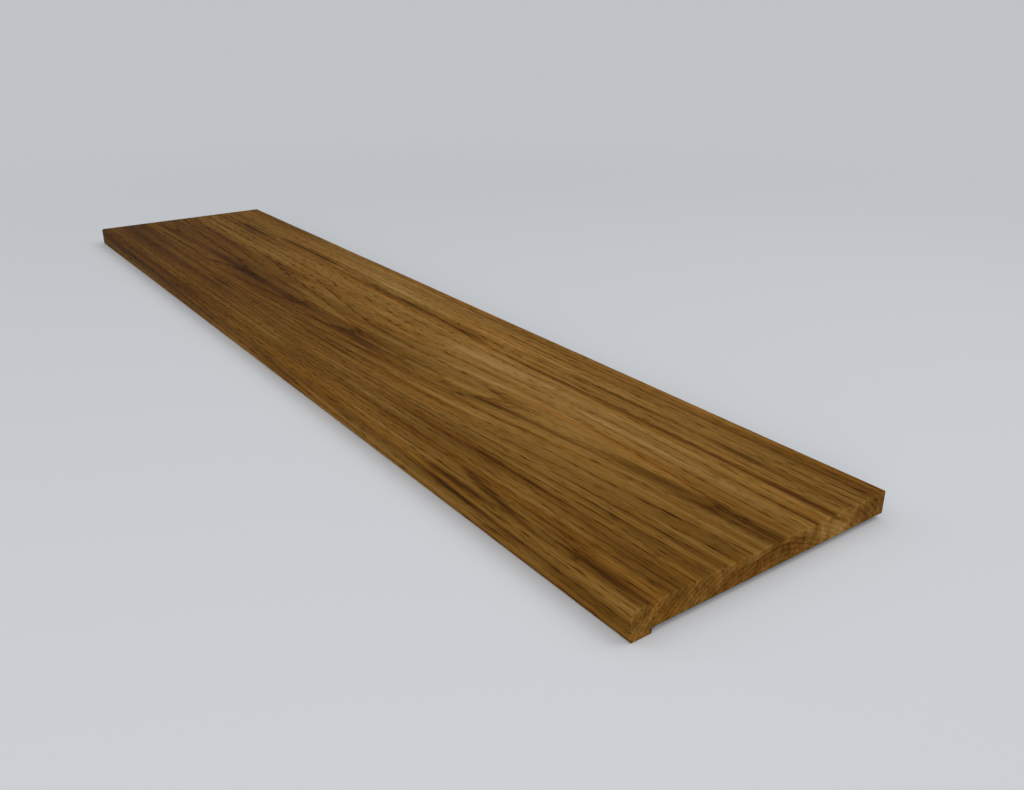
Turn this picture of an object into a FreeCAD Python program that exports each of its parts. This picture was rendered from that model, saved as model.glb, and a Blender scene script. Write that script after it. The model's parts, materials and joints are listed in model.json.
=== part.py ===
import FreeCAD
import Part
import Sketcher
import math
import os

# Stair tread: one board with a shallow nosing lip left standing along the underside of its front edge.
# X runs along the tread, Y from the front edge to the back edge and Z up, in millimetres.
# The origin is the middle of the footprint, level with the bottom of the lip.

doc = FreeCAD.newDocument("StairTread")

# Driving dimensions
dimensions = [
    ("tread_length", 1200, "along the stair's width"),
    ("tread_depth", 250, "from the front edge to the back edge"),
    ("board_thickness", 19, "from the underside to the walking face"),
    ("lip_drop", 4, "the lip's height below the underside"),
    ("lip_depth", 18, "from the front edge to the back of the lip"),
    ("nosing_top_radius", 3, "round between the walking face and the front"),
    ("nosing_bottom_radius", 2, "round between the front and the bottom of the lip"),
    ("arris_radius", 1, "easing of the sawn ends and of the top back edge"),
]

sheet = doc.addObject("Spreadsheet::Sheet", "Sizes")
for row, (alias, value, note) in enumerate(dimensions, start=1):
    sheet.set(f"A{row}", alias)
    sheet.set(f"B{row}", str(value))
    sheet.set(f"C{row}", note)
    sheet.setAlias(f"B{row}", alias)
doc.recompute()


def size(alias):
    return float(sheet.get(alias))


# Levels and edges of the section: the front edge looks towards -Y, and the lip's bottom is at height 0
back = size("tread_depth") / 2
front = -back
lip_back = front + size("lip_depth")
underside = size("lip_drop")
top = underside + size("board_thickness")


def origin_plane(body, role):
    return next(plane for plane in body.Origin.OriginFeatures if plane.Role == role)


# Section across the tread
def draw_section(body):
    sketch = body.newObject("Sketcher::SketchObject", "Section")
    sketch.AttachmentSupport = [(origin_plane(body, "YZ_Plane"), "")]
    sketch.MapMode = "FlatFace"

    def line(start, end):
        return sketch.addGeometry(Part.LineSegment(FreeCAD.Vector(*start, 0), FreeCAD.Vector(*end, 0)))

    def quarter_round(centre, radius, start_degrees):
        circle = Part.Circle(FreeCAD.Vector(*centre, 0), FreeCAD.Vector(0, 0, 1), radius)
        angles = [math.radians(start_degrees), math.radians(start_degrees + 90)]
        return sketch.addGeometry(Part.ArcOfCircle(circle, *angles))

    top_round = size("nosing_top_radius")
    bottom_round = size("nosing_bottom_radius")
    lip_bottom_line = line((front + bottom_round, 0), (lip_back, 0))
    lip_back_line = line((lip_back, 0), (lip_back, underside))
    underside_line = line((lip_back, underside), (back, underside))
    back_line = line((back, underside), (back, top))
    top_line = line((back, top), (front + top_round, top))
    top_arc = quarter_round((front + top_round, top - top_round), top_round, 90)
    front_line = line((front, top - top_round), (front, bottom_round))
    bottom_arc = quarter_round((front + bottom_round, bottom_round), bottom_round, 180)

    start_point, end_point = 1, 2
    across_axis = -1

    def constrain(*rule):
        return sketch.addConstraint(Sketcher.Constraint(*rule))

    sharp_run = [lip_bottom_line, lip_back_line, underside_line, back_line, top_line]
    for first, second in zip(sharp_run, sharp_run[1:]):
        constrain("Coincident", first, end_point, second, start_point)
    round_run = [top_line, top_arc, front_line, bottom_arc, lip_bottom_line]
    for first, second in zip(round_run, round_run[1:]):
        constrain("Tangent", first, end_point, second, start_point)
    for level in (lip_bottom_line, underside_line, top_line):
        constrain("Horizontal", level)
    for upright in (lip_back_line, back_line, front_line):
        constrain("Vertical", upright)
    constrain("PointOnObject", lip_bottom_line, end_point, across_axis)

    def measure(name, formula, *rule):
        index = constrain(*rule)
        sketch.renameConstraint(index, name)
        sketch.setExpression(f"Constraints.{name}", formula)

    def across(first, second, distance):
        return ("DistanceX", *first, *second, distance)

    def upward(edge, distance):
        return ("DistanceY", edge, start_point, edge, end_point, distance)

    middle = (across_axis, start_point)
    front_edge = (front_line, start_point)
    back_edge = (back_line, start_point)
    lip_edge = (lip_back_line, start_point)
    measure("half_depth", "Sizes.tread_depth / 2", *across(middle, back_edge, back))
    measure("depth", "Sizes.tread_depth", *across(front_edge, back_edge, back - front))
    measure("lip", "Sizes.lip_depth", *across(front_edge, lip_edge, lip_back - front))
    measure("drop", "Sizes.lip_drop", *upward(lip_back_line, underside))
    measure("thickness", "Sizes.board_thickness", *upward(back_line, top - underside))
    measure("top_round", "Sizes.nosing_top_radius", "Radius", top_arc, top_round)
    measure("bottom_round", "Sizes.nosing_bottom_radius", "Radius", bottom_arc, bottom_round)
    return sketch


# Board, run out to both sides of the section
def pad_board(body, sketch):
    board = body.newObject("PartDesign::Pad", "Board")
    board.Profile = sketch
    board.SideType = "Symmetric"
    board.setExpression("Length", "Sizes.tread_length")
    doc.recompute()
    return board


# Eased edges: all round each sawn end, and along the top back edge
def ease_edges(body, board):
    half_length = size("tread_length") / 2
    near = 0.001

    def is_eased(edge):
        box = edge.BoundBox
        on_end = abs(abs(box.Center.x) - half_length) < near
        top_back = box.YMin > back - near and box.ZMin > top - near
        return on_end or top_back

    easing = body.newObject("PartDesign::Fillet", "EasedEdges")
    names = [f"Edge{number}" for number, edge in enumerate(board.Shape.Edges, start=1) if is_eased(edge)]
    easing.Base = (board, names)
    easing.setExpression("Radius", "Sizes.arris_radius")
    body.Tip = easing


tread = doc.addObject("PartDesign::Body", "Tread")
tread.Label = "stair_tread"
section = draw_section(tread)
board = pad_board(tread, section)
ease_edges(tread, board)
doc.recompute()

# Nothing is written unless every step of the model is sound
for item in doc.Objects:
    faults = {"Invalid", "Error"} & set(item.State)
    if faults:
        raise RuntimeError(f"{item.Label} is left with {sorted(faults)}")
if not section.FullyConstrained:
    raise RuntimeError("the section is not fully constrained")
if tread.Shape.isNull() or not tread.Shape.isValid() or len(tread.Shape.Solids) != 1:
    raise RuntimeError("the tread is not one valid solid")

os.makedirs("parts", exist_ok=True)
tread.Shape.exportStep(f"parts/{tread.Label}.step")

box = tread.Shape.optimalBoundingBox(False)
print(f"{tread.Label}: {box.XLength:.2f} x {box.YLength:.2f} x {box.ZLength:.2f} mm")
print(f"volume {tread.Shape.Volume / 1000:.1f} cm3, {len(tread.Shape.Faces)} faces")
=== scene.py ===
import bpy
import json
import math
from mathutils import Color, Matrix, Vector


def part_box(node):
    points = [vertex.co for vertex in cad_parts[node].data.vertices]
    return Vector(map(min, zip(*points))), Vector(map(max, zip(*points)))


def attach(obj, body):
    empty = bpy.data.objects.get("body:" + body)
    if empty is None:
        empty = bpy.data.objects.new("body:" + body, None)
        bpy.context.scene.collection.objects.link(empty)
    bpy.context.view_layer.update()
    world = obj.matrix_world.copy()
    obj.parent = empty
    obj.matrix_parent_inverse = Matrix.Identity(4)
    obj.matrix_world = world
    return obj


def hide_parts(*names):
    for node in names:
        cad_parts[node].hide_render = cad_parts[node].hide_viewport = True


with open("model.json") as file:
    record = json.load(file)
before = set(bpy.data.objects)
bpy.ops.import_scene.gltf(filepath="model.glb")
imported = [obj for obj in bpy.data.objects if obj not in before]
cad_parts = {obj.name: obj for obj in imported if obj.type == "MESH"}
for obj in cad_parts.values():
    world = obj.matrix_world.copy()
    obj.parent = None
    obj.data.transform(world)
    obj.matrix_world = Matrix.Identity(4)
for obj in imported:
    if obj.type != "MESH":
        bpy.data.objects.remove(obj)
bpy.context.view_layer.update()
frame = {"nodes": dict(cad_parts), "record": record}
scene = bpy.context.scene
scene.view_settings.view_transform = "Standard"
print("frame loaded:", ", ".join(frame["nodes"]))

perMetre = 1000     # the wood is worked out in millimetres
noiseMiddle = 0.5   # noise textures lie around this value


# Node maths

class Wire:  # an output socket of a shader or geometry tree, so that sums on it add nodes
    def __init__(self, socket):
        self.socket = socket

    def node(self, kind, settings=None, inputs=None, output=0):  # settings first, then values or links
        tree = self.socket.id_data
        node = tree.nodes.new(kind)
        for name, value in (settings or {}).items():
            if name == "stops":
                setStops(node.color_ramp, value)
            else:
                setattr(node, name, value)
        for name, value in (inputs or {}).items():
            if isinstance(value, Wire):
                tree.links.new(value.socket, node.inputs[name])
            else:
                node.inputs[name].default_value = value
        return Wire(node.outputs[output]) if node.outputs else None

    def split(self):
        first = self.node("ShaderNodeSeparateXYZ", None, {0: self})
        return [Wire(socket) for socket in first.socket.node.outputs]

    def maths(self, operation, *values):
        return self.node("ShaderNodeMath", {"operation": operation}, dict(enumerate(values)))

    def vector(self, operation, other):
        return self.node("ShaderNodeVectorMath", {"operation": operation}, {0: self, 1: other})

    def millimetres(self):
        return self.vector("MULTIPLY", (perMetre, perMetre, perMetre))

    def fade(self, low, high, start=0.0, end=1.0):  # smooth change from start at low to end at high
        return self.node("ShaderNodeMapRange", {"interpolation_type": "SMOOTHSTEP"},
                         {0: self, 1: low, 2: high, 3: start, 4: end})

    def noise(self, cell, detail=2.0, roughness=0.5, output=0):  # cell: size of a blot along x, y and z
        return self.node("ShaderNodeTexNoise", None, {
            "Vector": self.vector("DIVIDE", cell), "Scale": 1.0,
            "Detail": detail, "Roughness": roughness}, output)

    def stray(self, noise, reach):  # a shift that changes over the blots of a noise
        blots = self.noise(*noise, output="Color")
        middle = (noiseMiddle, noiseMiddle, noiseMiddle)
        return blots.vector("SUBTRACT", middle).vector("MULTIPLY", reach)

    def bell(self, middle, width):  # 1 in the middle, falling off to both sides
        offset = self.maths("MULTIPLY_ADD", self, 1 / width, -middle / width)
        return self.maths("POWER", math.exp(-1), offset * offset)

    def __add__(self, other):
        return self.maths("ADD", self, other)

    def __radd__(self, other):
        return self.maths("ADD", other, self)

    def __sub__(self, other):
        return self.maths("SUBTRACT", self, other)

    def __rsub__(self, other):
        return self.maths("SUBTRACT", other, self)

    def __mul__(self, other):
        return self.maths("MULTIPLY", self, other)

    def __rmul__(self, other):
        return self.maths("MULTIPLY", other, self)

    def __truediv__(self, other):
        return self.maths("DIVIDE", self, other)

    def __rtruediv__(self, other):
        return self.maths("DIVIDE", other, self)

    def __abs__(self):
        return self.maths("ABSOLUTE", self)


def setStops(ramp, stops):
    while len(ramp.elements) < len(stops):
        ramp.elements.new(1.0)
    for element, (place, colour) in zip(ramp.elements, stops):
        element.position = place
        element.color = colour


def paint(red, green, blue):  # a colour as a picture editor shows it, 0 to 255
    colour = Color((red / 255, green / 255, blue / 255)).from_srgb_to_scene_linear()
    return (*colour, 1.0)


# Growth of the log that the board was sawn from, in millimetres
# A noise is given by the size of its blots along the grain, across it and through it, detail and roughness

growth = {
    "pithDepth": 70,            # the pith lies below the board
    "taper": 0.02,              # and comes nearer towards the far end, which closes the rings into arches
    "ringWidth": 4.2,
    "unevenRings": 3.0,         # rings that the count strays by
    "unevenNoise": ((1400, 70, 70), 1.0),
    "sway": (0, 9, 7),          # slow sway of the fibres across the board and through it
    "swayNoise": ((420, 90, 90), 1.0),
    "ripple": (0, 1.6, 1.2),
    "rippleNoise": ((110, 18, 18), 2.0),
    "heartMiddle": -16,         # the heart line crosses from the back half to the front half
    "heartSwing": 21,
    "heartTurn": 300,
    "heartLength": 180,
    "heartReach": 60,
    "swirls": [                 # along, across, length, width, height: where the rings close into ovals
        (204, -27, 45, 9, -5),
        (20, -94, 70, 12, -6),
        (-330, -60, 80, 14, -5),
    ],
}


def heartShift(x, y):  # how far the heart line pushes the grain aside, in plain numbers
    swing = math.tanh((x - growth["heartTurn"]) / growth["heartLength"])
    heart = growth["heartMiddle"] + growth["heartSwing"] * swing
    return heart * math.exp(-((y - growth["heartMiddle"]) / growth["heartReach"]) ** 2)


def grainAt(place):  # how far across and above the pith a place lies, and in which ring
    x, y, z = place.split()
    sway = place.stray(growth["swayNoise"], growth["sway"])
    ripple = place.stray(growth["rippleNoise"], growth["ripple"])
    driftY, driftZ = sway.vector("ADD", ripple).split()[1:]
    swing = place.maths("TANH", (x - growth["heartTurn"]) / growth["heartLength"])
    heart = growth["heartMiddle"] + growth["heartSwing"] * swing
    across = y - heart * y.bell(growth["heartMiddle"], growth["heartReach"]) + driftY
    above = z + driftZ + growth["pithDepth"] + x * growth["taper"]
    for along, aside, length, width, height in growth["swirls"]:
        above = above + x.bell(along, length) * y.bell(aside, width) * height
    radius = place.maths("SQRT", across * across + above * above)
    uneven = place.noise(*growth["unevenNoise"]) * growth["unevenRings"]
    count = radius / growth["ringWidth"] + uneven
    return across, above, count


# Tread board, in metres

tread = {
    "name": "tread_board",
    "node": "stair_tread",
    "slot": "oiled_wood",
    "topRound": 0.003,
    "bottomRound": 0.002,
    "endEasing": 0.001,
    "roundSteps": 4,
    "piecesAlong": (10, 11),        # each run of the board is divided twice, so 10 x 11 rows
    "piecesBehindLip": (14, 20),
    "piecesOverLip": (2, 11),
    "piecesThrough": (2, 9),
    "samePlace": 0.0001,            # places that are nearer than this count as one
    "straight": 0.99,               # least share of an edge or a normal that lies along its axis
    "reliefDepth": 0.00015,
    "reliefPlace": 0.15,            # where in a ring the wood lies lowest
    "reliefEnds": (0.3, 0.8),       # the relief fades out as normals lean this far to an end
    "smoothAngle": 30,
    "mapSize": 1024,
    "mapEnds": 0.4,                 # normals that lean further to an end belong to it on the map
    "mapStrips": {                  # left, bottom, right and top of each side on the colour map
        "top": (4, 4, 508, 900),
        "front": (4, 908, 508, 1020),
        "underside": (516, 4, 1020, 480),
        "lipBottom": (516, 488, 1020, 528),
        "back": (516, 536, 1020, 600),
        "lipBack": (516, 608, 1020, 624),
        "nearEnd": (516, 632, 1020, 820),
        "farEnd": (516, 828, 1020, 1016),
    },
}


def mountPlace(name):
    return next(mount["pos_m"] for mount in frame["record"]["mounts"] if mount["name"] == name)


def pick(mesh, kind, wanted):  # selects faces or edges by a test, and stays in edit mode
    bpy.ops.object.mode_set(mode="EDIT")
    bpy.ops.mesh.select_mode(type=kind)
    bpy.ops.mesh.select_all(action="DESELECT")
    bpy.ops.object.mode_set(mode="OBJECT")
    items = {"FACE": mesh.polygons, "EDGE": mesh.edges}[kind]
    for item in items:
        item.select = wanted(item)
    bpy.ops.object.mode_set(mode="EDIT")


def divide(mesh, axis, longest, pieces):  # cuts edges along an axis that are over half so long
    shortest = longest / 2

    def wanted(edge):
        first, second = (mesh.vertices[i].co for i in edge.vertices)
        step = second - first
        along = abs(step[axis]) > tread["straight"] * step.length
        return along and shortest < step.length < longest

    for number in pieces:
        pick(mesh, "EDGE", wanted)
        bpy.ops.mesh.subdivide(number_cuts=number - 1)
        bpy.ops.object.mode_set(mode="OBJECT")
        shortest, longest = shortest / number, longest / number


def modelTread():
    low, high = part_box(tread["node"])
    underside = mountPlace("underside")[2]
    lipBack = mountPlace("lip_back")[1]
    near = tread["samePlace"]

    bpy.ops.object.select_all(action="DESELECT")
    bpy.ops.mesh.primitive_cube_add(
        size=1, calc_uvs=False, location=(0, 0, (underside + high.z) / 2),
        scale=(high.x - low.x, high.y - low.y, high.z - underside))
    board = bpy.context.object
    board.name = board.data.name = tread["name"]
    bpy.ops.object.transform_apply(location=True, rotation=True, scale=True)
    mesh = board.data

    # the lip is drawn down from the front of the underside
    bpy.ops.object.mode_set(mode="EDIT")
    bpy.ops.mesh.bisect(plane_co=(0, lipBack, 0), plane_no=(0, 1, 0))
    pick(mesh, "FACE", lambda face: face.normal.z < -tread["straight"] and face.center.y < lipBack)
    bpy.ops.mesh.extrude_region_move(TRANSFORM_OT_translate={"value": (0, 0, low.z - underside)})
    bpy.ops.object.mode_set(mode="OBJECT")

    def roundFor(edge):  # rounded nosing, eased ends and eased back edge
        first, second = (mesh.vertices[i].co for i in edge.vertices)
        middle = (first + second) / 2
        atTop = middle.z > high.z - near
        if abs(second.x - first.x) > near:
            atFront = middle.y < low.y + near
            atBack = middle.y > high.y - near
            if atFront and atTop:
                return tread["topRound"]
            if atFront and middle.z < low.z + near:
                return tread["bottomRound"]
            return tread["endEasing"] if atBack and atTop else 0
        atEnd = abs(middle.x) > high.x - near
        behindLip = middle.z > underside + near and abs(middle.y - lipBack) < near
        aboveLip = abs(middle.z - underside) < near and middle.y < lipBack
        return tread["endEasing"] if atEnd and not behindLip and not aboveLip else 0

    weights = mesh.attributes.new("bevel_weight_edge", "FLOAT", "EDGE")
    for edge in mesh.edges:
        weights.data[edge.index].value = roundFor(edge) / tread["topRound"]
    rounding = board.modifiers.new("rounding", "BEVEL")
    rounding.width = tread["topRound"]
    rounding.segments = tread["roundSteps"]
    rounding.limit_method = "WEIGHT"
    rounding.use_clamp_overlap = False
    bpy.ops.object.modifier_apply(modifier=rounding.name)
    print("tread shaped:", len(mesh.polygons), "faces")

    divide(mesh, 0, high.x - low.x, tread["piecesAlong"])
    divide(mesh, 1, lipBack - low.y, tread["piecesOverLip"])
    divide(mesh, 1, high.y - low.y, tread["piecesBehindLip"])
    divide(mesh, 2, high.z - underside, tread["piecesThrough"])
    print("tread divided:", len(mesh.polygons), "faces")
    return board


def sinkGrain(board):  # the soft part of each ring lies lower than the hard part, but not on the sawn ends
    tree = bpy.data.node_groups.new("sunk_grain", "GeometryNodeTree")
    for way in ("INPUT", "OUTPUT"):
        tree.interface.new_socket("Geometry", in_out=way, socket_type="NodeSocketGeometry")
    plain = Wire(tree.nodes.new("NodeGroupInput").outputs[0])
    place = plain.node("GeometryNodeInputPosition").millimetres()
    normal = plain.node("GeometryNodeInputNormal")
    count = grainAt(place)[2]
    wave = 0.5 + 0.5 * plain.maths("COSINE", (count - tread["reliefPlace"]) * math.tau)
    offEnds = abs(normal.split()[0]).fade(*tread["reliefEnds"], 1.0, 0.0)
    sink = wave * wave * offEnds * -tread["reliefDepth"]
    offset = plain.node("ShaderNodeVectorMath", {"operation": "SCALE"}, {0: normal, "Scale": sink})
    sunk = plain.node("GeometryNodeSetPosition", None, {"Geometry": plain, "Offset": offset})
    plain.node("NodeGroupOutput", None, {0: sunk})
    relief = board.modifiers.new("relief", "NODES")
    relief.node_group = tree
    bpy.ops.object.modifier_apply(modifier=relief.name)
    bpy.ops.object.shade_smooth_by_angle(angle=math.radians(tread["smoothAngle"]))
    print("grain sunk")


def sideOf(face):  # the strip of the colour map that a face lies on
    x, y, z = face.normal
    if abs(x) > tread["mapEnds"]:
        return "nearEnd" if x > 0 else "farEnd"
    if abs(y) > abs(z):
        if y < 0:
            return "front"
        return "back" if face.center.y > 0 else "lipBack"
    if z > 0:
        return "top"
    return "underside" if face.center.z > mountPlace("lip_back")[2] else "lipBottom"


def layMap(board):  # grain runs along the map, with most of the map's lines across the walking face
    mesh = board.data
    layer = mesh.uv_layers.new(name="OFBake")
    sides = {}
    for face in mesh.polygons:
        sides.setdefault(sideOf(face), []).append(face)
    for side, faces in sides.items():
        along = 1 if side in ("nearEnd", "farEnd") else 0
        across = 1 if side in ("top", "underside", "lipBottom") else 2
        corners = [loop for face in faces for loop in face.loop_indices]
        places = [mesh.vertices[mesh.loops[loop].vertex_index].co for loop in corners]
        low = [min(place[axis] for place in places) for axis in (along, across)]
        high = [max(place[axis] for place in places) for axis in (along, across)]
        left, bottom, right, top = (edge / tread["mapSize"] for edge in tread["mapStrips"][side])
        for loop, place in zip(corners, places):
            u = (place[along] - low[0]) / (high[0] - low[0])
            v = (place[across] - low[1]) / (high[1] - low[1])
            layer.uv[loop].vector = (left + u * (right - left), bottom + v * (top - bottom))
    print("map laid:", len(sides), "sides")


# Oiled wood, in millimetres

wood = {
    "stops": [
        (0.00, paint(50, 25, 2)),
        (0.25, paint(80, 49, 6)),
        (0.50, paint(108, 75, 24)),
        (0.75, paint(137, 102, 50)),
        (1.00, paint(162, 129, 80)),
    ],
    "tone": 0.59,
    "broadTone": 0.7,               # slow change of tone over the board
    "broadNoise": ((700, 60, 60), 1.0),
    "bandTone": 0.7,                # bands as wide as a few rings
    "bandNoise": ((500, 7, 9), 2.0, 0.6),
    "fibreTone": 0.45,
    "fibreNoise": ((90, 0.9, 0.9), 3.0, 0.6),
    "ringTone": 0.22,
    "ringStart": 0.08,              # share of a ring in which its early wood sets in
    "ringFall": 4.0,                # how fast it pales after that
    "faintestRing": 0.3,            # against the strongest one
    "poreTone": 0.36,
    "poreNoise": ((18, 0.7, 0.7), 1.0),
    "poreRings": 0.2,               # early wood has more pores
    "poreEdge": (0.65, 0.72),
    "poreDepth": 0.00012,           # metres
    "fibreDepth": 0.5,              # against the pores
    "rayTone": 0.16,
    "rayNoise": ((20, 0.6, 7), 0.0),
    "rayRadius": 110,               # distance from the pith at which the ray's width is measured
    "rayEdge": (0.66, 0.74),
    "streakTone": 0.5,
    "streakNoise": ((120, 3, 3), 2.0),  # breaks the streaks up
    "streakEdge": (0.25, 0.6),
    "shadeTone": 0.3,
    "strokeEnd": (15, 0.3),         # a stroke's ends are as soft as this length and share of half of it
    "skinHeights": (16, 22),        # above these a streak keeps to its place, and below to its ring
    "deepHeights": (2, 20),         # streaks, broad tones and painted light and shade fade between these heights
    "deepShare": 0.25,              # to this much
    # the sawn ends are painted lighter, as painted light standing in for the light that falls on them
    "endTone": -0.05,
    "endSkin": (1.5, 0.5),          # distances from a sawn end between which its painted light sets in
    "warmShift": (1.08, 0.97, 0.8),
    "warmNoise": ((350, 14, 14), 2.0),
    "warmEdge": (0.4, 0.65),
    "roughness": 0.7,
    "fibreRoughness": 0.15,
    "poreRoughness": 0.2,
    "gloss": 0.05,
    # streaks and broad tones of the walking face, some of them painted light and shade: across, from, to,
    # width and strength, dark ones above 0, and how far the streak leans over to its other end
    "streaks": [
        (65, 620, 230, 2.5, 0.9),
        (67, 160, 115, 3, 0.6),
        (70, 40, -100, 3, 0.7),
        (76, -215, -375, 4, 0.9),
        (67, -405, -505, 4, 0.9),
        (82, 530, 465, 2.5, 0.7),
        (82, 400, 300, 2.5, 0.6),
        (82, 265, 225, 2.5, 0.5),
        (5, 620, 430, 6, 0.6),
        (-12, 500, 264, 2, 0.5),
        (-37, 130, 40, 6, 0.8),
        (-35, -60, -120, 5, 0.6),
        (-35, -180, -360, 9, 0.7),
        (-40, -360, -620, 6, 0.6),
        (-77, 470, 360, 2, 0.6),
        (-67, 120, 0, 2, 0.6),
        (-77, -180, -250, 3, 0.6),
        (-111, 590, 515, 3, 0.8),
        (-110, 480, 385, 3.5, 0.9, 13),
        (-121, 445, 365, 3, 0.9),
        (-100, 620, 530, 5, -0.6),
    ],
    "shades": [
        (44, 900, -900, 16, -0.5),
        (28, 560, 40, 24, -0.4),
        (-10, 420, 100, 16, -0.35),
        (-45, 620, 240, 20, -0.1),
        (-34, 150, -620, 14, 0.3),
        (-92, 500, -900, 26, 0.45),
        (-114, 480, -300, 12, 0.3),
        # partly painted shade on the front face's far half, partly the wood's own tone along the front edge
        (-122, 300, -900, 12, 0.5),
        (108, 200, -900, 22, -0.3),
        (72, 900, 250, 14, 0.3),
        (85, 620, 370, 10, 0.35),
        (85, 240, -110, 12, -0.3),
        (95, -360, -900, 16, -0.3),
        (45, 240, 0, 10, -0.35),
        (-75, 110, -130, 10, 0.4),
        (-104, 340, 40, 14, 0.5),
        (-75, -430, -900, 45, 0.5),
        (55, 900, 380, 14, 0.4),
        (112, 900, 370, 9, 0.4),
        (-14, 40, -130, 10, -0.5),
        (-88, 530, 420, 12, -0.45),
        (64, 190, -30, 6, 0.4),
        (34, 130, 30, 10, 0.4),
        (8, -60, -480, 16, -0.25),
        # painted light and shade along the length: painted shade at the near end and over the far half, a
        # pool of painted light over the near half
        (0, 900, 540, 200, 0.2),
        (0, 480, 180, 200, -0.2),
        (0, -100, -900, 200, 0.3),
        (0, -380, -900, 200, 0.25),
    ],
}


def ringsAt(count):  # each ring starts with open dark early wood and ends pale and dense
    ringPlace = count.maths("FRACT", count)
    number = count.maths("FLOOR", count)
    kind = count.node("ShaderNodeTexWhiteNoise", {"noise_dimensions": "1D"}, {"W": number})
    falling = count.maths("POWER", math.exp(-1), ringPlace * wood["ringFall"])
    earlyWood = falling * ringPlace.fade(0.0, wood["ringStart"])
    strength = wood["faintestRing"] + (1 - wood["faintestRing"]) * kind
    return earlyWood, earlyWood * strength


def surfaceAt(x, z, across, above):  # where the ring comes up through the walking face
    topHeight = mountPlace("walking_face")[2] * perMetre
    topAbove = topHeight + growth["pithDepth"] + x * growth["taper"]
    squared = across * across + above * above - topAbove * topAbove
    onTop = x.maths("SQRT", x.maths("MAXIMUM", squared, 0.0)) * x.maths("SIGN", across)
    return onTop + (across - onTop) * z.fade(*wood["skinHeights"])


def addStrokes(x, surface, strokes):  # lines along the grain, which fade out at both ends
    total = 0.0
    shortest, share = wood["strokeEnd"]
    for aside, start, end, width, strength, *lean in strokes:
        middle, reach = (start + end) / 2, abs(start - end) / 2
        softEnd = shortest + share * reach
        path = surface
        if lean:
            path = surface + (x - middle) * (lean[0] / (2 * reach))
        line = path.bell(aside - heartShift(middle, aside), width)
        total = total + line * abs(x - middle).fade(reach - softEnd, reach + softEnd, strength, 0.0)
    return total


def oiledWood():
    material = bpy.data.materials.new(tread["slot"])
    material.use_nodes = True
    tree = material.node_tree
    tree.nodes.clear()
    place = Wire(tree.nodes.new("ShaderNodeTexCoord").outputs["Object"]).millimetres()
    x, _, z = place.split()
    across, above, count = grainAt(place)
    grain = place.node("ShaderNodeCombineXYZ", None, {0: x, 1: across, 2: above})
    earlyWood, rings = ringsAt(count)

    # fibres, pores, and rays that spread from the pith
    fibres = grain.noise(*wood["fibreNoise"]) - noiseMiddle
    bands = grain.noise(*wood["bandNoise"]) - noiseMiddle
    broad = grain.noise(*wood["broadNoise"]) - noiseMiddle
    pores = grain.noise(*wood["poreNoise"]) + wood["poreRings"] * earlyWood
    pores = pores.fade(*wood["poreEdge"])
    bearing = place.maths("ARCTAN2", across, above) * wood["rayRadius"]
    spread = place.node("ShaderNodeCombineXYZ", None, {0: x, 1: bearing, 2: count})
    rays = spread.noise(*wood["rayNoise"]).fade(*wood["rayEdge"])

    # streaks, broad tones and painted light and shade run on down the edges and ends
    surface = surfaceAt(x, z, across, above)
    depth = z.fade(*wood["deepHeights"], wood["deepShare"], 1.0)
    broken = grain.noise(*wood["streakNoise"]).fade(*wood["streakEdge"])
    streaks = addStrokes(x, surface, wood["streaks"]) * broken * depth
    # broad tones of the wood, together with painted light and shade along the board
    shades = addStrokes(x, surface, wood["shades"]) * depth
    halfLength = mountPlace("right_end")[0] * perMetre
    # where the painted light on the sawn ends lies
    paintedEndLight = abs(x).fade(halfLength - wood["endSkin"][0], halfLength - wood["endSkin"][1])

    # the tone takes in painted light and shade from the broad tones and the sawn ends
    tone = (wood["tone"] + wood["broadTone"] * broad + wood["bandTone"] * bands + wood["fibreTone"] * fibres
            - wood["ringTone"] * rings - wood["poreTone"] * pores - wood["rayTone"] * rays
            - wood["streakTone"] * streaks - wood["shadeTone"] * shades - wood["endTone"] * paintedEndLight)
    colour = place.node("ShaderNodeValToRGB", {"stops": wood["stops"]}, {0: tone})
    warmer = colour.vector("MULTIPLY", wood["warmShift"])
    warmth = grain.noise(*wood["warmNoise"]).fade(*wood["warmEdge"])
    colour = place.node("ShaderNodeMix", {"data_type": "RGBA"},
                        {"Factor": warmth, "A": colour, "B": warmer}, "Result")
    roughness = wood["roughness"] + wood["fibreRoughness"] * fibres + wood["poreRoughness"] * pores
    height = fibres * wood["fibreDepth"] - pores
    normal = place.node("ShaderNodeBump", None, {"Distance": wood["poreDepth"], "Height": height})
    skin = place.node("ShaderNodeBsdfPrincipled", None, {
        "Base Color": colour, "Roughness": roughness, "Normal": normal,
        "Specular IOR Level": wood["gloss"]})
    place.node("ShaderNodeOutputMaterial", None, {"Surface": skin})
    print("oiled wood mixed:", len(tree.nodes), "nodes")
    return material


# Floor, light and camera

studio = {
    "floorSize": 300,
    "floorColour": paint(206, 209, 213),
    "backdrop": paint(192, 195, 199),
    "floorFade": (0.6, 1.6),        # metres from the middle, to where the floor is only a backdrop
    "skyColour": paint(255, 255, 255),
    "skyLow": 0.1,
    "skyHigh": 0.91,
    "skyFade": (0.25, 0.95),        # heights of a direction, as a sine, between which the sky brightens
    "softboxes": [                  # name, place, size and power, all turned to the middle of the board
        ("key", (1.3, 1.5, 2.4), 2.2, 20),
        ("fill", (2.6, -2.2, 0.85), 2.0, 73),
        ("left_fill", (-2.3, -1.8, 1.0), 1.8, 13),
    ],
}

view = {
    "place": (0.9252, -0.4466, 0.3554),     # metres
    "tilt": 66.79,                          # degrees up from straight down
    "turn": 54.15,                          # degrees from looking along +Y
    "lens": 32.84,                          # millimetres
    "sensor": 36,
}


def softbox(name, place, size, power):
    turn = Vector(place).to_track_quat("Z", "Y").to_euler()  # a lamp shines along its own -Z
    bpy.ops.object.light_add(type="AREA", location=place, rotation=turn)
    lamp = bpy.context.object
    lamp.name = name
    lamp.data.size = size
    lamp.data.energy = power


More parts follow.
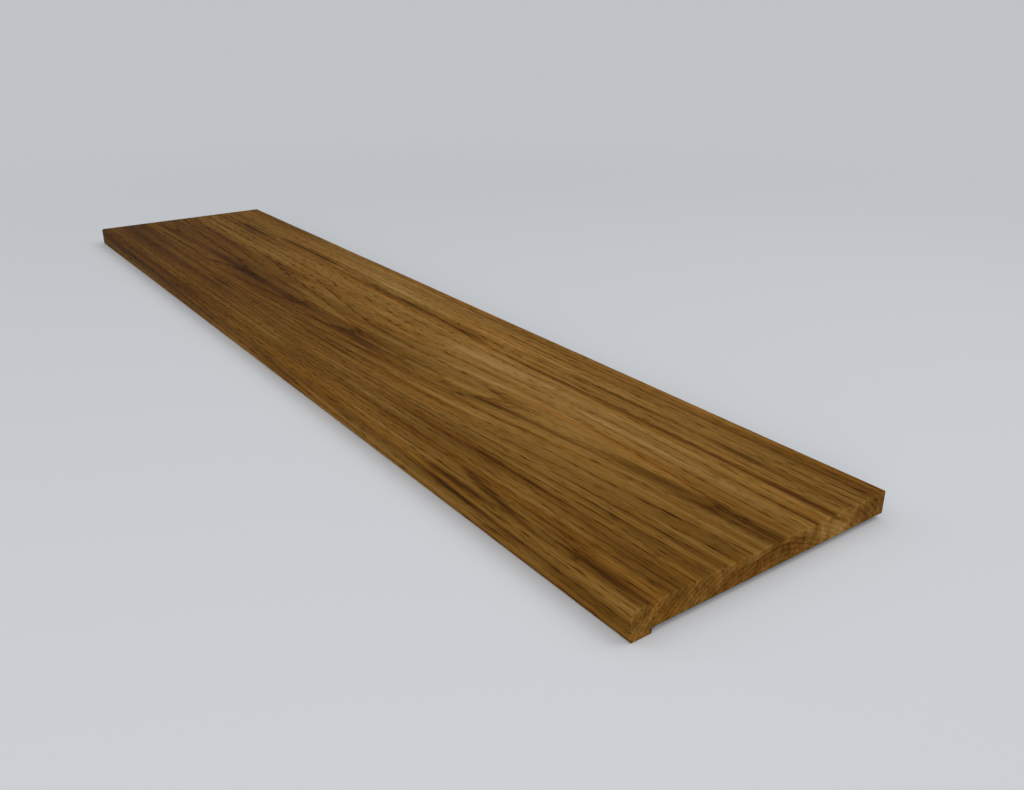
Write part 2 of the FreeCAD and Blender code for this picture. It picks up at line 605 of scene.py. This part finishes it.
def shown(wire):  # where the backdrop shows: to the camera, in reflections and through clear things
    camera = wire.node("ShaderNodeLightPath", output="Is Camera Ray")
    glossy = wire.node("ShaderNodeLightPath", output="Is Glossy Ray")
    clear = wire.node("ShaderNodeLightPath", output="Is Transmission Ray")
    return wire.maths("MAXIMUM", wire.maths("MAXIMUM", camera, glossy), clear)


def paleFloor():  # takes the board's shadow, and further out fades into the backdrop
    bpy.ops.mesh.primitive_plane_add(size=studio["floorSize"], location=(0, 0, 0))
    floor = bpy.context.object
    floor.name = "floor"
    material = bpy.data.materials.new("pale_floor")
    material.use_nodes = True
    tree = material.node_tree
    tree.nodes.clear()
    place = Wire(tree.nodes.new("ShaderNodeTexCoord").outputs["Object"])
    distance = place.node("ShaderNodeVectorMath", {"operation": "LENGTH"}, {0: place}, "Value")
    faded = shown(place) * distance.fade(*studio["floorFade"])
    lit = place.node("ShaderNodeBsdfDiffuse", None, {"Color": studio["floorColour"]})
    plain = place.node("ShaderNodeEmission", None, {"Color": studio["backdrop"]})
    mixed = place.node("ShaderNodeMixShader", None, {0: faded, 1: lit, 2: plain})
    place.node("ShaderNodeOutputMaterial", None, {"Surface": mixed})
    floor.data.materials.append(material)


def softSky():
    world = bpy.data.worlds.new("studio")
    scene.world = world
    world.use_nodes = True
    tree = world.node_tree
    tree.nodes.clear()
    direction = Wire(tree.nodes.new("ShaderNodeTexCoord").outputs["Generated"])
    strength = direction.split()[2].fade(*studio["skyFade"], studio["skyLow"], studio["skyHigh"])
    sky = direction.node("ShaderNodeBackground", None, {"Color": studio["skyColour"], "Strength": strength})
    plain = direction.node("ShaderNodeBackground", None, {"Color": studio["backdrop"]})
    mixed = direction.node("ShaderNodeMixShader", None, {0: shown(direction), 1: sky, 2: plain})
    direction.node("ShaderNodeOutputWorld", None, {"Surface": mixed})


def setCamera():
    bpy.ops.object.camera_add(
        location=view["place"], rotation=(math.radians(view["tilt"]), 0, math.radians(view["turn"])))
    camera = bpy.context.object
    camera.data.lens = view["lens"]
    camera.data.sensor_width = view["sensor"]
    scene.camera = camera


board = modelTread()
sinkGrain(board)
layMap(board)
board.data.materials.append(oiledWood())
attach(board, "root")
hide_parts(tread["node"])

paleFloor()
softSky()
for box in studio["softboxes"]:
    softbox(*box)
setCamera()
print("studio set")
